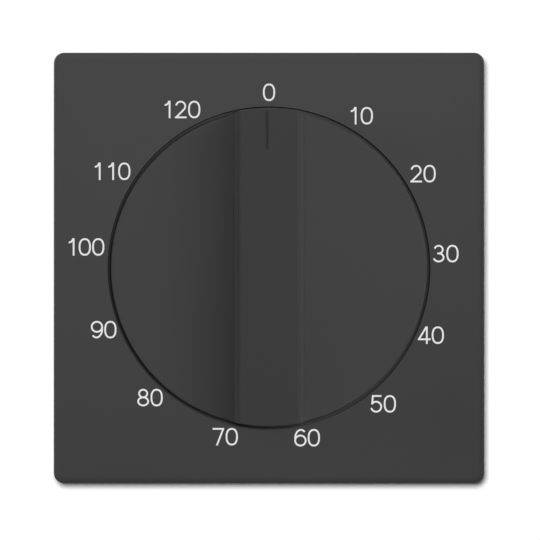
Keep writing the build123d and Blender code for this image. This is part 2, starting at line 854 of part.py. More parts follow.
def terminal_screw(x):
    """Clamp screw backed off so that the wire bore is free."""
    low = wire_y + wire_r + easy_fit
    seat = terminal_top + easy_fit
    middle = ledge_back - terminal_size / 2
    head_top = seat - low + terminal_screw_head_h
    body = rod(terminal_screw_r, 0, seat - low) + rod(terminal_screw_head_r, seat - low, head_top)
    half = screw_slot / 2
    slot_low = head_top - terminal_screw_head_h / 2
    body -= block(-terminal_screw_head_r, terminal_screw_head_r, -half, half, slot_low, head_top)
    return Pos(x, low, middle) * Rot(-90, 0, 0) * body


def group(shapes):
    """Several solids under one name."""
    return Compound([solid for shape in shapes for solid in shape.solids()])


pieces = {
    "cover_plate": cover_plate(),
    "dial_knob": dial_knob(),
    "knob_clip": knob_clip(),
    "support_frame": support_frame(),
    "frame_screws": group(frame_screw(point) for point in frame_screw_points),
    "insert_housing": insert_housing(),
    "housing_cover": housing_cover(),
    "front_movement_plate": front_movement_plate(),
    "rear_movement_plate": rear_movement_plate(),
    "movement_pillars": group(pillar(point) for point in pillar_points),
    "shaft_bushes": group(shaft_bushes()),
    "main_shaft": main_shaft(),
    "shaft_circlip": shaft_circlip(),
    "stop_arm": stop_arm(),
    "stop_pin": stop_pin(),
    "main_wheel": main_wheel(),
    "clutch_spring": clutch_spring(),
    "spring_barrel": spring_barrel(),
    "mainspring": mainspring(),
    "second_wheel": second_wheel(),
    "third_wheel": third_wheel(),
    "escape_wheel": escape_wheel(),
    "train_arbors": group(rod(arbor_r, rear_plate_back, front_plate_top, point) for point in wheel_points),
    "pallet_lever": pallet_lever(),
    "pallet_pins": group(pallet_pins()),
    "balance_wheel": balance_wheel(),
    "balance_staff": balance_staff(),
    "hairspring": hairspring(),
    "hairspring_stud": rod(stud_r, rear_plate_back, balance_back - layer_gap, stud_point()),
    "switch_cam": switch_cam(),
    "moving_contact": moving_contact(),
    "moving_rivet": upright_rod(rivet_r, blade_high, blade_high + rivet_h, contact_x),
    "blade_rivet": blade_rivet(),
    "line_busbar": line_busbar(),
    "load_busbar": load_busbar(),
    "fixed_rivet": upright_rod(rivet_r, tab_low - rivet_h, tab_low, contact_x),
    "line_terminal": terminal_parts(-terminal_x),
    "load_terminal": terminal_parts(terminal_x),
    "terminal_screws": group(terminal_screw(x) for x in (-terminal_x, terminal_x)),
}

os.makedirs("parts", exist_ok=True)
for name, shape in pieces.items():
    turned = [Rot(90, 0, 0) * solid for solid in shape.solids()]
    export_step(Compound(turned), f"parts/{name}.step")
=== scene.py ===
# %% [markdown]
# # A wall timer with a turning knob
#
# On the real object a square plate covers a clockwork switch that sits in the wall. From the front
# only the plate, the flush dial with its grip bar and thirteen printed numbers can be seen.
# All of it could be modelled again here, but the solids already have their true shapes and places.
# So this lesson loads them as they are and adds what they lack: print, finishes, light and a camera.

# %% Load the solids
import json
import math

import bpy
import numpy as np
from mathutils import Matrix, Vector


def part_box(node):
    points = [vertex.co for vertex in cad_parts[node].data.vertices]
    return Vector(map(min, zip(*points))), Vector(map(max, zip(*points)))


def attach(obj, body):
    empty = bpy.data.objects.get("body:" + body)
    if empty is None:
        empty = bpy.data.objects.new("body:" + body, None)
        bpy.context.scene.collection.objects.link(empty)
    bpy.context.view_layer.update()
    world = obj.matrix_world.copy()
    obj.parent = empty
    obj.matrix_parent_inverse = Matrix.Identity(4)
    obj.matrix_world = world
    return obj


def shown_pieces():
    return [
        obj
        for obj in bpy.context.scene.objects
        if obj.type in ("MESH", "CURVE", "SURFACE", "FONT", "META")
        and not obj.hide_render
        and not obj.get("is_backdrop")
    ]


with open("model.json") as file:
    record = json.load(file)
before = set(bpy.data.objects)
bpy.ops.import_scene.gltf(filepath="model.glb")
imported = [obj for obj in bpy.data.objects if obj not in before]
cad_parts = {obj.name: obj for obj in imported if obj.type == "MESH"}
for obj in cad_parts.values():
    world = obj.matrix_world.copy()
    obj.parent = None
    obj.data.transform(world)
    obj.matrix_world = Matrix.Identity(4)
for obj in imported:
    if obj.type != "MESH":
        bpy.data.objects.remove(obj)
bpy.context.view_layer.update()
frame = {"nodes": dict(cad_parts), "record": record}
MM = 0.001
scene = bpy.context.scene
scene.view_settings.view_transform = "Standard"

# %% [markdown]
# ## The camera
#
# The photograph looks straight at the plate from far away: the sides of the bar, which is drafted like
# any moulded grip, show only as thin strips. A short lens close by would splay them open. A long lens
# at more than a metre keeps them thin, so the focal length is worked out from the width that the
# picture spans at the plate, and the camera stands a hair below the dial's axis. Sensor and lens are in
# millimetres, as Blender has them, and the scene is in metres.

# %% Camera
SENSOR_WIDTH = 36.0
CAMERA_DISTANCE = 1400 * MM
CAMERA_RISE = math.radians(-0.6)
PICTURE_WIDTH = 78.97 * MM
AIM_RIGHT = 0.14 * MM
AIM_UP = -0.32 * MM

plate_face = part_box("cover_plate")[0].y
aim = Vector((AIM_RIGHT, plate_face, AIM_UP))
towards_camera = Vector((0.0, -math.cos(CAMERA_RISE), math.sin(CAMERA_RISE)))
camera_data = bpy.data.cameras.new("photo_camera")
camera_data.sensor_width = SENSOR_WIDTH
camera_data.lens = SENSOR_WIDTH * CAMERA_DISTANCE / PICTURE_WIDTH
camera = bpy.data.objects.new("photo_camera", camera_data)
camera.location = aim + CAMERA_DISTANCE * towards_camera
camera.rotation_euler = towards_camera.to_track_quat("Z", "Y").to_euler()
scene.collection.objects.link(camera)
scene.camera = camera
print("lens", round(camera_data.lens), "mm, plate face at y", round(plate_face / MM, 2), "mm")

# %% [markdown]
# ## Lines for the digits
#
# The numbers are pad printed: a thin film of white ink with strokes of one even width. A text object
# would bring a typeface of its own. Drawing the middle line of each stroke from straight runs and
# arcs keeps the even stroke and needs only a few sizes, all given as shares of the digit's height.

# %% Runs and arcs
STROKE = 0.10
DIGIT_WIDTH = 0.70
HALF_TALL = (1.0 - STROKE) / 2
HALF_WIDE = (DIGIT_WIDTH - STROKE) / 2
ARC_STEPS = 40
SAME_POINT = 1e-6


def straight(x0, y0, x1, y1):
    """Two points: the start and the end of a straight run."""
    return np.array([[x0, y0], [x1, y1]])


def arc(x, y, wide, tall, start, end, squareness=2.0):
    """Points of a superellipse about (x, y), from one angle in degrees to another.

    Cosine and sine of the angle keep their sign, are raised to 2 / squareness, and are stretched by
    wide and tall.
    """
    angle = np.radians(np.linspace(start, end, ARC_STEPS))
    turn = np.stack([np.cos(angle), np.sin(angle)], axis=1)
    bent = np.sign(turn) * np.abs(turn) ** (2.0 / squareness)
    return np.array([x, y]) + bent * np.array([wide, tall])


def joined(*runs):
    """One path through all runs, without the points that repeat where two runs meet."""
    path = np.concatenate(runs)
    moved = np.linalg.norm(np.diff(path, axis=0), axis=1) > SAME_POINT
    return path[np.concatenate([[True], moved])]


print("stroke", STROKE, "of the height, an arc has", ARC_STEPS, "points")

# %% [markdown]
# ## The ten digits
#
# Each digit is a list of strokes about its own middle. The 9 is the 6 turned half round, and the 8 and
# the 3 share the level where their two bowls meet. A stroke marked level is cut along the line of
# writing, as the slanted legs of the 4, 5 and 7 are, and all others are cut square to their own run.

# %% Strokes of each digit
EDGE = 0.5
BAR_END = 0.333
BOWL_MEET = 0.012
ROUND_ZERO = 2.35
ONE_STEM = 0.13
TWO_BOW = 0.262
THREE_MIDDLE = -0.02
FOUR_STEM = 0.142
FOUR_BAR = -0.235
FIVE_BOWL = 0.287
SIX_BOWL = 0.288
SIX_LEAN = 0.03
SIX_TIP_WIDE, SIX_TIP_TALL = 0.22, 0.20

upper_bowl = dict(y=(HALF_TALL + BOWL_MEET) / 2, tall=(HALF_TALL - BOWL_MEET) / 2)
lower_bowl = dict(y=(BOWL_MEET - HALF_TALL) / 2, tall=(HALF_TALL + BOWL_MEET) / 2)
two_top = arc(-0.005, HALF_TALL - TWO_BOW, TWO_BOW, TWO_BOW, 170, -42)
six_low = SIX_BOWL - HALF_TALL
six_back = joined(
    straight(-HALF_WIDE, six_low, -HALF_WIDE, -SIX_LEAN),
    arc(SIX_LEAN, -SIX_LEAN, HALF_WIDE + SIX_LEAN, HALF_TALL + SIX_LEAN, 180, 90),
    arc(SIX_LEAN, HALF_TALL - SIX_TIP_TALL, SIX_TIP_WIDE, SIX_TIP_TALL, 90, 22),
)
six = [(arc(0.0, six_low, HALF_WIDE, SIX_BOWL, 0, 360), "square"), (six_back, "square")]

DIGITS = {
    "0": [(arc(0.0, 0.0, HALF_WIDE, HALF_TALL, 0, 360, ROUND_ZERO), "square")],
    "1": [
        (straight(ONE_STEM, -EDGE, ONE_STEM, EDGE), "square"),
        (arc(-0.14, 0.52, 0.235, 0.26, -92, -6), "square"),
    ],
    "2": [
        (joined(two_top, straight(*two_top[-1], -0.245, 0.02 - HALF_TALL)), "square"),
        (straight(-BAR_END, -HALF_TALL, BAR_END, -HALF_TALL), "square"),
    ],
    "3": [
        (joined(arc(THREE_MIDDLE, wide=0.235, start=165, end=-90, **upper_bowl),
                straight(THREE_MIDDLE, BOWL_MEET, -0.10, BOWL_MEET)), "square"),
        (arc(THREE_MIDDLE, wide=0.28, start=90, end=-168, **lower_bowl), "square"),
    ],
    "4": [
        (straight(FOUR_STEM, -EDGE, FOUR_STEM, EDGE), "square"),
        (straight(-0.37, FOUR_BAR, 0.36, FOUR_BAR), "square"),
        (straight(0.128, EDGE, -0.315, FOUR_BAR), "level"),
    ],
    "5": [
        (straight(-0.25, HALF_TALL, 0.29, HALF_TALL), "square"),
        (straight(-0.20, EDGE, -0.245, 0.0), "level"),
        (arc(-0.015, FIVE_BOWL - HALF_TALL, 0.29, FIVE_BOWL, 152, -165), "square"),
    ],
    "6": six,
    "7": [
        (straight(-0.325, HALF_TALL, BAR_END, HALF_TALL), "square"),
        (straight(0.262, 0.40, -0.085, -EDGE), "level"),
    ],
    "8": [
        (arc(0.0, wide=0.232, start=0, end=360, **upper_bowl), "square"),
        (arc(0.0, wide=0.287, start=0, end=360, **lower_bowl), "square"),
    ],
    "9": [(-path, cut) for path, cut in six],
}
print("digits with", sum(len(strokes) for strokes in DIGITS.values()), "strokes in all")

# %% [markdown]
# ## From a line to a flat band
#
# Ink has a little height, so each stroke becomes a closed band with a flat top, two sides and a bottom.
# A bevelled curve would do it too, but it rounds the ends. Here the path is moved to both sides by
# half a stroke, and a ring of four points, two low and two high, is carried along it as whole arrays.
# The film starts a hair above the plate, and each further stroke of a digit is a hair higher than the
# one before, so that no two tops lie in one plane where strokes cross.

# %% Bands of ink
INK_SEAT = 0.001 * MM
INK_HEIGHT = 0.02 * MM
INK_STEP = 0.002 * MM
RING_CORNERS = 4


def is_closed(path):
    """Whether the path ends where it starts."""
    return np.allclose(path[0], path[-1])


def side_steps(path, cut):
    """Half a stroke to the left at each point of a path.

    A square cut is square to the mean of the directions before and after the point, and is divided by
    the cosine of half the bend there. A level cut runs along x, divided by the direction's rise.
    """
    along = np.diff(path, axis=0)
    along = along / np.linalg.norm(along, axis=1, keepdims=True)
    closed = is_closed(path)
    before = np.vstack([along[-1] if closed else along[0], along])
    after = np.vstack([along, along[0] if closed else along[-1]])
    mean = before + after
    mean = mean / np.linalg.norm(mean, axis=1, keepdims=True)
    if cut == "level":
        left = np.stack([-1.0 / mean[:, 1], np.zeros(len(path))], axis=1)
    else:
        bend = np.sum(mean * after, axis=1, keepdims=True)
        left = np.stack([-mean[:, 1], mean[:, 0]], axis=1) / bend
    return left * STROKE / 2


def band(path, cut, layer):
    """Rings of a band of ink: left low, left high, right high and right low at each point of its path."""
    step = side_steps(path, cut)
    top = INK_HEIGHT + layer * INK_STEP
    edges = [(step, INK_SEAT), (step, top), (-step, top), (-step, INK_SEAT)]
    rails = [np.column_stack([path + side, np.full(len(path), lift)]) for side, lift in edges]
    rings = np.stack(rails, axis=1)
    return rings[:-1] if is_closed(path) else rings


def band_faces(rings, closed):
    """Four faces from each ring to the next, as numbers of their corners.

    A closed band runs on from its last ring into its first, and an open one gets a cap at each end.
    """
    start = RING_CORNERS * np.arange(rings if closed else rings - 1)[:, None]
    onward = (start + RING_CORNERS) % (RING_CORNERS * rings)
    corner = np.arange(RING_CORNERS)[None, :]
    beside = (corner + 1) % RING_CORNERS
    sides = np.stack([start + corner, start + beside, onward + beside, onward + corner], axis=2)
    sides = sides.reshape(-1, RING_CORNERS)
    if closed:
        return sides
    first_cap = np.arange(RING_CORNERS)[::-1]
    last_cap = np.arange(RING_CORNERS) + RING_CORNERS * (rings - 1)
    return np.vstack([sides, first_cap, last_cap])


print("ink", INK_HEIGHT / MM, "mm high")

# %% [markdown]
# ## Thirteen numbers around the dial
#
# The numbers stand upright and follow the dial: a short dead angle after 0, then equal steps up to 120
# minutes. They aren't on one circle. Each was pushed out along its ray until its nearest bit of ink
# clears the dial's edge, so wide numbers at the sides sit further out. The same rule is used here.
# The real print departs from it by less than a millimetre. Those shifts, to the right and up, were read
# off the photograph number by number, and the print as a whole sits a little high on the plate.

# %% Numbers
DIGIT_HEIGHT = 2.55 * MM
DIGIT_ADVANCE = 0.771
DEAD_ANGLE = 4.0
STEP_ANGLE = 27.2
STEP_MINUTES = 10
LAST_MINUTE = 120
CLEAR_RADIUS = 24.09 * MM
PRINT_RISE = 0.08 * MM
SHIFT_IN_MM = {
    0: (0.0, 0.23), 10: (0.25, 0.17), 20: (0.09, -0.11), 30: (-0.07, 0.0), 40: (0.04, 0.0),
    50: (-0.09, 0.03), 60: (-0.09, -0.02), 70: (-0.04, 0.0), 80: (-0.21, 0.31), 90: (0.05, 0.28),
    100: (-0.14, 0.18), 110: (-0.63, -0.52), 120: (0.25, 0.36),
}


def way_out(ink, ray):
    """How far a number has to be pushed along its ray so that no ink lies inside the clear radius.

    A point p goes out along the ray d by the larger root r of |p + r d| = radius, which is
    sqrt(radius^2 - |p|^2 + (p d)^2) - p d. The point that needs most decides.
    """
    forward = ink @ ray
    return np.max(np.sqrt(CLEAR_RADIUS**2 - np.sum(ink**2, axis=1) + forward**2) - forward)


def number_bands(text):
    """Corners and faces of all strokes of a number, with its ink centred on the origin."""
    corners, faces, filled = [], [], 0
    for place, figure in enumerate(text):
        shift = (place - (len(text) - 1) / 2) * DIGIT_ADVANCE
        for layer, (path, cut) in enumerate(DIGITS[figure]):
            rings = band(path + np.array([shift, 0.0]), cut, layer)
            corners.append(rings.reshape(-1, 3))
            faces.append(filled + band_faces(len(rings), is_closed(path)))
            filled += RING_CORNERS * len(rings)
    corners = np.concatenate(corners)
    corners[:, :2] *= DIGIT_HEIGHT
    corners[:, :2] -= (corners[:, :2].min(axis=0) + corners[:, :2].max(axis=0)) / 2
    return corners, np.concatenate(faces)


def print_number(minutes):
    """A number as a mesh on the plate's face: x to the right, z up and the ink's height towards -y."""
    corners, faces = number_bands(str(minutes))
    angle = math.radians(DEAD_ANGLE + STEP_ANGLE * minutes / STEP_MINUTES if minutes else 0.0)
    ray = np.array([math.sin(angle), math.cos(angle)])
    across = corners[:, :2] + way_out(corners[:, :2], ray) * ray
    across = across + np.array(SHIFT_IN_MM[minutes]) * MM + np.array([0.0, PRINT_RISE])
    points = np.column_stack([across[:, 0], plate_face - corners[:, 2], across[:, 1]])
    mesh = bpy.data.meshes.new(f"number_{minutes}")
    mesh.from_pydata(points.tolist(), [], faces.tolist())
    number = bpy.data.objects.new(f"number_{minutes}", mesh)
    scene.collection.objects.link(number)
    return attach(number, "base")


numbers = [print_number(minutes) for minutes in range(0, LAST_MINUTE + 1, STEP_MINUTES)]
print("printed", len(numbers), "numbers,", sum(len(number.data.polygons) for number in numbers), "faces")

# %% [markdown]
# ## Node helpers
#
# A finish is a small tree of nodes. Writing every node and link by hand in full hides what matters. So
# a few helpers add a node with its values, make an empty group or material, and link pairs of sockets.

# %% Helpers for nodes
COLOUR, NUMBER, DIRECTION = "NodeSocketColor", "NodeSocketFloat", "NodeSocketVector"


def add_node(tree, kind, values=None, **settings):
    """A new node with its settings, and with values on the inputs that stay unlinked.

    An input is given by its name, or by its number where a node has several of one name.
    """
    made = tree.nodes.new(kind)
    for name, value in settings.items():
        setattr(made, name, value)
    for name, value in (values or {}).items():
        made.inputs[name].default_value = value
    return made


def new_group(name, inputs, outputs):
    """An empty shader group, its input node and its output node."""
    tree = bpy.data.node_groups.new(name, "ShaderNodeTree")
    for socket, kind in inputs.items():
        tree.interface.new_socket(socket, in_out="INPUT", socket_type=kind)
    for socket, kind in outputs.items():
        tree.interface.new_socket(socket, in_out="OUTPUT", socket_type=kind)
    return tree, tree.nodes.new("NodeGroupInput"), tree.nodes.new("NodeGroupOutput")


def new_material(name):
    """An empty material, its node tree and its Principled shader."""
    material = bpy.data.materials.new(name)
    material.use_nodes = True
    tree = material.node_tree
    return material, tree, tree.nodes["Principled BSDF"]


def wire(tree, pairs):
    """A link from the first socket of each pair to the second."""
    for source, target in pairs:
        tree.links.new(source, target)


print("helpers ready")

# %% [markdown]
# ## Small sums with sockets
#
# The finishes below share three sums: a noise is stretched to a useful range, a colour is multiplied,
# and a pattern lightens and darkens a colour. Each sum is a function that adds its nodes and gives
# back the socket with the result, so that it can be put straight into a link.

# %% Sums for patterns
def stretched(tree, source, span, middle, reach):
    """The socket of a value carried from its usual span to middle - reach up to middle + reach."""
    low, high = span
    mapped = add_node(tree, "ShaderNodeMapRange", {
        "From Min": low, "From Max": high, "To Min": middle - reach, "To Max": middle + reach})
    tree.links.new(source, mapped.inputs["Value"])
    return mapped.outputs["Result"]


def scaled(tree, colour, factor):
    """The socket of colour * factor."""
    product = add_node(tree, "ShaderNodeVectorMath", operation="SCALE")
    wire(tree, [(colour, product.inputs[0]), (factor, product.inputs["Scale"])])
    return product.outputs["Vector"]


def patterned(tree, colour, contrast, pattern):
    """The socket of colour * (1 + contrast * pattern), for a pattern from -1 to 1."""
    tone = add_node(tree, "ShaderNodeMath", {2: 1.0}, operation="MULTIPLY_ADD")
    wire(tree, [(pattern, tone.inputs[0]), (contrast, tone.inputs[1])])
    return scaled(tree, colour, tone.outputs[0])


print("sums ready")

# %% [markdown]
# ## Moulded grain
#
# The mould of the plate was eroded by sparks, which leaves a fine, even grain that takes the shine off.
# An image of grain would repeat and blur, so two noises on Object coordinates stand for it: a fine one
# for the grain itself and a slow one for the faint clouds that every moulding has.

# %% Group for moulded plastic
CLOUDS_PER_METRE = 70.0
CLOUD_SHARE = 0.5
MIXED_SPAN = (0.4, 1.1)

grain_group, ins, outs = new_group(
    "moulded_grain",
    {"Colour": COLOUR, "Grains per metre": NUMBER, "Contrast": NUMBER},
    {"Colour": COLOUR, "Grain": NUMBER},
)
place = add_node(grain_group, "ShaderNodeTexCoord")
fine = add_node(grain_group, "ShaderNodeTexNoise", {"Detail": 3.0, "Roughness": 0.6})
slow = add_node(grain_group, "ShaderNodeTexNoise", {"Scale": CLOUDS_PER_METRE, "Detail": 2.0})
mixed = add_node(grain_group, "ShaderNodeMath", {1: CLOUD_SHARE}, operation="MULTIPLY_ADD")
pattern = stretched(grain_group, mixed.outputs[0], MIXED_SPAN, 0.0, 1.0)
tinted = patterned(grain_group, ins.outputs["Colour"], ins.outputs["Contrast"], pattern)
wire(grain_group, [
    (place.outputs["Object"], fine.inputs["Vector"]),
    (place.outputs["Object"], slow.inputs["Vector"]),
    (ins.outputs["Grains per metre"], fine.inputs["Scale"]),
    (slow.outputs["Fac"], mixed.inputs[0]),
    (fine.outputs["Fac"], mixed.inputs[2]),
    (tinted, outs.inputs["Colour"]),
    (fine.outputs["Fac"], outs.inputs["Grain"]),
])
print("group", grain_group.name, "has", len(grain_group.nodes), "nodes")

# %% [markdown]
# ## Plastics
#
# Plate and knob are matt anthracite, the housing behind them is plain grey, and the small clockwork
# wheels are natural acetal. The white ink is a plastic film too. They differ in colour, grain and gloss
# only, so one function makes them all: the grain moves colour and roughness a little and lifts the
# surface by a few micrometres.

# %% Plastic materials
GRAIN_SPAN = (0.3, 0.7)
ROUGHNESS_SWING = 0.05


def plastic(name, colour, grains, contrast, roughness, gloss, relief):
    """A moulded plastic; relief is the grain's height in metres and gloss the specular level."""
    material, tree, shader = new_material(name)
    grain = add_node(tree, "ShaderNodeGroup", {
        "Colour": (*colour, 1.0), "Grains per metre": grains, "Contrast": contrast}, node_tree=grain_group)
    bump = add_node(tree, "ShaderNodeBump", {"Distance": relief, "Strength": 1.0})
    dull = stretched(tree, grain.outputs["Grain"], GRAIN_SPAN, roughness, ROUGHNESS_SWING)
    shader.inputs["Specular IOR Level"].default_value = gloss
    wire(tree, [
        (grain.outputs["Colour"], shader.inputs["Base Color"]),
        (dull, shader.inputs["Roughness"]),
        (grain.outputs["Grain"], bump.inputs["Height"]),
        (bump.outputs["Normal"], shader.inputs["Normal"]),
    ])
    return material


PLASTICS = {
    "anthracite_plastic": dict(colour=(0.055, 0.055, 0.0553), grains=4200.0, contrast=0.05,
                               roughness=0.72, gloss=0.1, relief=0.003 * MM),
    "grey_plastic": dict(colour=(0.42, 0.42, 0.41), grains=2500.0, contrast=0.07,
                         roughness=0.55, gloss=0.5, relief=0.004 * MM),
    "acetal": dict(colour=(0.80, 0.79, 0.74), grains=3000.0, contrast=0.04,
                   roughness=0.40, gloss=0.5, relief=0.002 * MM),
    "white_print": dict(colour=(0.88, 0.88, 0.87), grains=9000.0, contrast=0.04,
                        roughness=0.60, gloss=0.2, relief=0.002 * MM),
}
finishes = {name: plastic(name, **values) for name, values in PLASTICS.items()}
print("plastics:", ", ".join(finishes))

# %% [markdown]
# ## Painted shade on the knob's top
#
# The top of the bar is painted a shade darker than the disc beside it, and the painted shade runs a little
# way down the bar's sides. A second material could be given to those faces, but then its edge would be
# hard. A mask on the height above the disc fades the painted shade out over the upper part of the bar
# instead.

# %% Knob material with painted shade
BAR_TOP_PAINTED_SHADE = 0.73
PAINTED_SHADE_DEPTH = 2.5 * MM

bar_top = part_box("dial_knob")[0].y
knob_painted_finish = plastic("knob_plastic_painted_shade", **PLASTICS["anthracite_plastic"])
tree = knob_painted_finish.node_tree
base_colour = tree.nodes["Principled BSDF"].inputs["Base Color"]
plain_colour = base_colour.links[0].from_socket
place = add_node(tree, "ShaderNodeTexCoord")
axes = add_node(tree, "ShaderNodeSeparateXYZ")
# Painted shade: the colour is multiplied by a smooth mask that is darkest at the bar's top and reaches the
# plain colour a little way down its sides.
painted_darkening = add_node(tree, "ShaderNodeMapRange", {
    "From Min": bar_top, "From Max": bar_top + PAINTED_SHADE_DEPTH, "To Min": BAR_TOP_PAINTED_SHADE, "To Max": 1.0},
    interpolation_type="SMOOTHSTEP")
wire(tree, [
    (place.outputs["Object"], axes.inputs["Vector"]),
    (axes.outputs["Y"], painted_darkening.inputs["Value"]),
    (scaled(tree, plain_colour, painted_darkening.outputs["Result"]), base_colour),
])
print("bar top at y", round(bar_top / MM, 2), "mm, shaded to", BAR_TOP_PAINTED_SHADE)

# %% [markdown]
# ## Metal streaks
#
# Rolled sheet, drawn wire and turned pins all carry fine lines along the way they were worked. A noise
# that is stretched far along one axis gives such lines, so the group takes the stretch as a vector:
# lines per metre along x, y and z.

# %% Group for worked metal
STREAK_SPAN = (0.25, 0.75)

metal_group, ins, outs = new_group(
    "worked_metal",
    {"Colour": COLOUR, "Lines per metre": DIRECTION, "Contrast": NUMBER},
    {"Colour": COLOUR, "Streak": NUMBER},
)
place = add_node(metal_group, "ShaderNodeTexCoord")
drawn_out = add_node(metal_group, "ShaderNodeVectorMath", operation="MULTIPLY")
streak = add_node(metal_group, "ShaderNodeTexNoise", {"Scale": 1.0, "Detail": 4.0, "Roughness": 0.65})
pattern = stretched(metal_group, streak.outputs["Fac"], STREAK_SPAN, 0.0, 1.0)
tinted = patterned(metal_group, ins.outputs["Colour"], ins.outputs["Contrast"], pattern)
wire(metal_group, [
    (place.outputs["Object"], drawn_out.inputs[0]),
    (ins.outputs["Lines per metre"], drawn_out.inputs[1]),
    (drawn_out.outputs["Vector"], streak.inputs["Vector"]),
    (tinted, outs.inputs["Colour"]),
    (streak.outputs["Fac"], outs.inputs["Streak"]),
])
print("group", metal_group.name, "has", len(metal_group.nodes), "nodes")

# %% [markdown]
# ## Metals
#
# Brass plates and pillars, steel pins, blued springs, bronze contacts and silver rivets share the
# streaks and differ in colour, direction of the lines and polish. All are fully metallic, so their
# colour is the colour of their reflection.

# %% Metal materials
ROLLED_FLAT = (300.0, 300.0, 6000.0)
ROLLED_LONG = (200.0, 4000.0, 4000.0)
TURNED = (400.0, 8000.0, 400.0)
POLISH_SWING = 0.08


def streaked(tree, colour, lines, contrast):
    """The metal group placed in a material with its own values; lines are per metre along x, y and z."""
    return add_node(tree, "ShaderNodeGroup", {
        "Colour": (*colour, 1.0), "Lines per metre": lines, "Contrast": contrast}, node_tree=metal_group)


def metal(name, colour, lines, contrast, roughness):
    """A worked metal whose streaks move its colour and its roughness."""
    material, tree, shader = new_material(name)
    streaks = streaked(tree, colour, lines, contrast)
    polish = stretched(tree, streaks.outputs["Streak"], STREAK_SPAN, roughness, POLISH_SWING)
    shader.inputs["Metallic"].default_value = 1.0
    wire(tree, [
        (streaks.outputs["Colour"], shader.inputs["Base Color"]),
        (polish, shader.inputs["Roughness"]),
    ])
    return material


METALS = {
    "brass": dict(colour=(0.72, 0.54, 0.26), lines=ROLLED_FLAT, contrast=0.10, roughness=0.30),
    "steel": dict(colour=(0.55, 0.56, 0.58), lines=TURNED, contrast=0.10, roughness=0.28),
    "spring_steel": dict(colour=(0.36, 0.38, 0.43), lines=ROLLED_LONG, contrast=0.12, roughness=0.30),
    "contact_bronze": dict(colour=(0.68, 0.42, 0.26), lines=ROLLED_LONG, contrast=0.10, roughness=0.32),
    "contact_silver": dict(colour=(0.85, 0.85, 0.85), lines=TURNED, contrast=0.06, roughness=0.25),
}
finishes.update({name: metal(name, **values) for name, values in METALS.items()})
print("metals:", ", ".join(METALS))

# %% [markdown]
# ## Zinc on the support frame
#
# The steel frame that is screwed to the wall box is galvanised. The zinc sets in flat crystals of a few
# millimetres that catch the light differently, which is its spangle. Voronoi cells have just that look:
# each cell's random value moves brightness and polish together.

# %% Zinc material
ZINC = (0.60, 0.61, 0.60)
ZINC_LINES = (900.0, 900.0, 900.0)
ZINC_CONTRAST = 0.06
ZINC_ROUGHNESS, ZINC_SWING = 0.42, 0.10
CRYSTALS_PER_METRE = 420.0
CRYSTAL_SPAN = (0.0, 1.0)
SPANGLE = 0.13

zinc, tree, shader = new_material("zinc_steel")
place = add_node(tree, "ShaderNodeTexCoord")
crystal = add_node(tree, "ShaderNodeTexVoronoi", {"Scale": CRYSTALS_PER_METRE})
parts = add_node(tree, "ShaderNodeSeparateColor")
streaks = streaked(tree, ZINC, ZINC_LINES, ZINC_CONTRAST)
tone = stretched(tree, parts.outputs["Red"], CRYSTAL_SPAN, 1.0, SPANGLE)
polish = stretched(tree, parts.outputs["Red"], CRYSTAL_SPAN, ZINC_ROUGHNESS, ZINC_SWING)
shader.inputs["Metallic"].default_value = 1.0
wire(tree, [
    (place.outputs["Object"], crystal.inputs["Vector"]),
    (crystal.outputs["Color"], parts.inputs["Color"]),
    (scaled(tree, streaks.outputs["Colour"], tone), shader.inputs["Base Color"]),
    (polish, shader.inputs["Roughness"]),
])
finishes["zinc_steel"] = zinc
print("zinc crystals about", round(1 / (CRYSTALS_PER_METRE * MM), 1), "mm across")

# %% [markdown]
# ## Dressing the solids
#
# Every solid names the finish it is made in, so the materials are handed out from that list. Only the
# knob departs from it, because its bar has painted shade on its top.

# %% Give every piece its finish
for row in frame["record"]["subparts"]:
    solid = frame["nodes"][row["node"]]
    finish = knob_painted_finish if row["node"] == "dial_knob" else finishes[row["material_slot"]]
    solid.data.materials.clear()
    solid.data.materials.append(finish)
for number in numbers:
    number.data.materials.append(finishes["white_print"])

# %% [markdown]
# ## Wall and floor
#
# The timer hangs on a white wall, and behind the wall its housing sits in a box. A solid wall would hide
# that housing from every view behind it, so the wall is one sheet that only shows from the front: where
# a ray meets its back, it is transparent. The pale floor lies below the picture. Both are hidden from
# diffuse and glossy rays. Light that bounces off them would fill the dark gap around the dial, and
# metal is to mirror the plain white background.

# %% Stage
WALL_SIZE = 0.5
WALL_SET_BACK = 0.2 * MM
WALL_WHITE = (1.0, 1.0, 1.0, 1.0)
FLOOR_SIZE = 1.6
FLOOR_DROP = 60 * MM
FLOOR_PALE = (0.80, 0.80, 0.79, 1.0)
STAGE_ROUGHNESS = 0.9


def sheet_of(name, corners, material):
    """A flat stage piece of four corners, given counter-clockwise as seen from its front."""
    mesh = bpy.data.meshes.new(name)
    mesh.from_pydata(corners, [], [(0, 1, 2, 3)])
    mesh.materials.append(material)
    piece = bpy.data.objects.new(name, mesh)
    piece.visible_diffuse = False
    piece.visible_glossy = False
    scene.collection.objects.link(piece)
    piece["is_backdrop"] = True
    return piece


floor_finish, tree, shader = new_material("pale_floor")
shader.inputs["Base Color"].default_value = FLOOR_PALE
shader.inputs["Roughness"].default_value = STAGE_ROUGHNESS

wall_finish, tree, shader = new_material("white_wall")
shader.inputs["Base Color"].default_value = WALL_WHITE
shader.inputs["Roughness"].default_value = STAGE_ROUGHNESS
shader.inputs["Specular IOR Level"].default_value = 0.0
side = add_node(tree, "ShaderNodeNewGeometry")
clear = add_node(tree, "ShaderNodeBsdfTransparent")
either = add_node(tree, "ShaderNodeMixShader")
wire(tree, [
    (side.outputs["Backfacing"], either.inputs[0]),
    (shader.outputs[0], either.inputs[1]),
    (clear.outputs[0], either.inputs[2]),
    (either.outputs[0], tree.nodes["Material Output"].inputs["Surface"]),
])

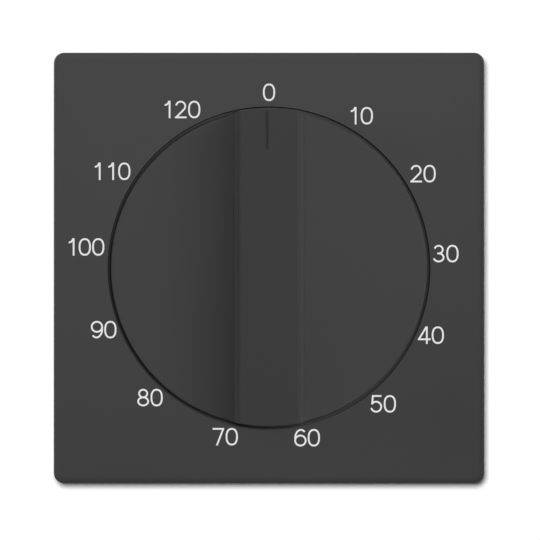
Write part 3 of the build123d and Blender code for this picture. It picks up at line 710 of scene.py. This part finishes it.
half_wall, half_floor = WALL_SIZE / 2, FLOOR_SIZE / 2
wall = sheet_of("wall", [
    (-half_wall, WALL_SET_BACK, -FLOOR_DROP), (half_wall, WALL_SET_BACK, -FLOOR_DROP),
    (half_wall, WALL_SET_BACK, half_wall), (-half_wall, WALL_SET_BACK, half_wall)], wall_finish)
floor = sheet_of("floor", [
    (-half_floor, -half_floor, -FLOOR_DROP), (half_floor, -half_floor, -FLOOR_DROP),
    (half_floor, half_floor, -FLOOR_DROP), (-half_floor, half_floor, -FLOOR_DROP)], floor_finish)
print("wall", WALL_SIZE, "m, floor", FLOOR_SIZE, "m")

# %% [markdown]
# ## Light
#
# The photograph was lit softly: the plate is even and fades a little from top to bottom, the bar shades
# the disc on its left, and a thin shadow lies to the right of the plate and below it. One softbox can't
# do all of that, so each lamp is linked to the pieces that it is meant for. A lamp's power follows from
# the share of the plain light level that it gives: power = share * pi^2 * distance^2 / cosine.
# A grid in front of a softbox narrows its beam, which then fades evenly away from its axis. Looking a
# little above the dial, the two gridded front lamps give the plate its fade. They stand just off the
# dial's axis, so that the gap around the dial stays dark.

# %% One lamp
WHITE, COOL = (1.0, 1.0, 1.0), (0.92, 0.94, 1.0)
GRID_AIM_UP = 45 * MM
GRID_REACH = 240 * MM


def softbox(name, towards, distance, size, share, facing, pieces, tint=WHITE, blockers=None, grid=False):
    """A rectangular soft lamp that gives its share of light to a surface at the dial that faces one way.

    With a grid, light at an angle is (tan half - tan angle) / (tan half - half) of the open lamp's,
    where half is the beam's half angle, so the power is divided by that. Shadows come from the
    blockers, or from everything where none are named.
    """
    direction = Vector(towards).normalized()
    lamp = bpy.data.lights.new(name, "AREA")
    lamp.shape = "RECTANGLE"
    lamp.size, lamp.size_y = size
    lamp.energy = share * math.pi**2 * distance**2 / direction.dot(facing)
    lamp.color = tint
    target = Vector((0.0, plate_face, 0.0))
    stand = bpy.data.objects.new(name, lamp)
    stand.location = target + distance * direction
    if grid:
        target.z = GRID_AIM_UP
        half = math.atan(GRID_REACH / distance)
        lamp.spread = 2 * half
        lamp.energy *= (math.tan(half) - half) / (math.tan(half) - GRID_AIM_UP / distance)
    stand.rotation_euler = (stand.location - target).to_track_quat("Z", "Y").to_euler()
    stand.visible_camera = False
    stand.light_linking.receiver_collection = pieces
    stand.light_linking.blocker_collection = blockers
    scene.collection.objects.link(stand)
    return stand


print("a grid fades to nothing", GRID_REACH / MM, "mm from its axis")

# %% [markdown]
# ## Which lamp lights what
#
# Light linking takes a collection of the pieces that a lamp may reach, and another one of the pieces
# that may stand in its way. The print has a lamp of its own, because it is equally white all round the
# dial. The lamps above and behind are blocked by the timer's own pieces only: the wall would keep them
# from the frame and the housing.

# %% Pieces for each lamp
def lit_group(name, pieces):
    """A collection of the pieces that a lamp is linked to."""
    group = bpy.data.collections.new(name)
    for piece in pieces:
        group.objects.link(piece)
    return group


knob = frame["nodes"]["dial_knob"]
solids = [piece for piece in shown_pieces() if piece not in numbers]
all_lit = lit_group("all_lit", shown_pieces())
solids_lit = lit_group("solids_lit", solids)
plate_lit = lit_group("plate_lit", [piece for piece in solids if piece != knob])
knob_lit = lit_group("knob_lit", [knob])
print_lit = lit_group("print_lit", numbers)
wall_lit = lit_group("wall_lit", [wall])
floor_lit = lit_group("floor_lit", [floor])

# %% [markdown]
# ## The lamps
#
# Each lamp is given by the way from the dial towards it, its distance and size in metres, and the share
# of light it gives to a surface that faces front, left, right, up or back. On the plate's face the two
# front lamps and the faint light of the background add up to a little less than one, so that the
# anthracite comes out about as it is written.

# %% Lamps
FRONT, BACK = Vector((0.0, -1.0, 0.0)), Vector((0.0, 1.0, 0.0))
LEFT, RIGHT = Vector((-1.0, 0.0, 0.0)), Vector((1.0, 0.0, 0.0))
UP = Vector((0.0, 0.0, 1.0))

lamps = [
    softbox("front_light", (0.028, -1.0, 0.01), distance=1.0, size=(0.06, 0.06), share=0.36,
            facing=FRONT, pieces=solids_lit, grid=True),
    softbox("plate_light", (0.10, -1.0, 0.01), distance=1.0, size=(0.08, 0.08), share=0.385,
            facing=FRONT, pieces=plate_lit, grid=True),
    softbox("print_light", (0.0, -1.0, 0.0), distance=1.0, size=(0.10, 0.10), share=0.75,
            facing=FRONT, pieces=print_lit),
    softbox("bar_light", (0.55, -1.0, 0.20), distance=0.9, size=(0.85, 0.40), share=0.405,
            facing=FRONT, pieces=knob_lit),
    softbox("left_light", (-1.0, -0.22, 0.1), distance=0.8, size=(0.3, 0.5), share=0.32,
            facing=LEFT, pieces=solids_lit),
    softbox("right_light", (1.0, -0.12, 0.1), distance=0.8, size=(0.3, 0.5), share=0.44,
            facing=RIGHT, pieces=knob_lit),
    softbox("top_light", (0.0, 0.02, 1.0), distance=0.8, size=(0.4, 0.03), share=0.32,
            facing=UP, pieces=solids_lit, tint=COOL, blockers=all_lit),
    softbox("rear_light_left", (-0.65, 0.75, 0.35), distance=1.0, size=(0.5, 0.5), share=0.45,
            facing=BACK, pieces=all_lit, blockers=all_lit),
    softbox("rear_light_right", (0.65, 0.75, 0.35), distance=1.0, size=(0.5, 0.5), share=0.45,
            facing=BACK, pieces=all_lit, blockers=all_lit),
    softbox("wall_light", (-0.031, -1.0, 0.048), distance=1.5, size=(0.156, 0.156), share=0.945,
            facing=FRONT, pieces=wall_lit),
    softbox("floor_light", (0.0, -0.2, 1.0), distance=1.2, size=(0.8, 0.8), share=0.9,
            facing=UP, pieces=floor_lit),
]
print("lamps:", ", ".join(f"{lamp.name} {lamp.data.energy:.2f} W" for lamp in lamps))

# %% [markdown]
# ## The world
#
# The background is white to the eye and in reflections, but its light on the object is weak, so that the
# softboxes keep their say. Light Path tells which kind of ray is asking.

# %% World
AMBIENT = 0.10

world = bpy.data.worlds.new("white_studio")
world.use_nodes = True
scene.world = world
tree = world.node_tree
background = tree.nodes["Background"]
background.inputs["Color"].default_value = (1.0, 1.0, 1.0, 1.0)
asking = add_node(tree, "ShaderNodeLightPath")
seen = add_node(tree, "ShaderNodeMath", operation="MAXIMUM")
shown = add_node(tree, "ShaderNodeMath", operation="MAXIMUM")
level = add_node(tree, "ShaderNodeMapRange", {"To Min": AMBIENT, "To Max": 1.0})
wire(tree, [
    (asking.outputs["Is Camera Ray"], seen.inputs[0]),
    (asking.outputs["Is Glossy Ray"], seen.inputs[1]),
    (seen.outputs[0], shown.inputs[0]),
    (asking.outputs["Is Transmission Ray"], shown.inputs[1]),
    (shown.outputs[0], level.inputs["Value"]),
    (level.outputs["Result"], background.inputs["Strength"]),
])
print("ambient light", AMBIENT)
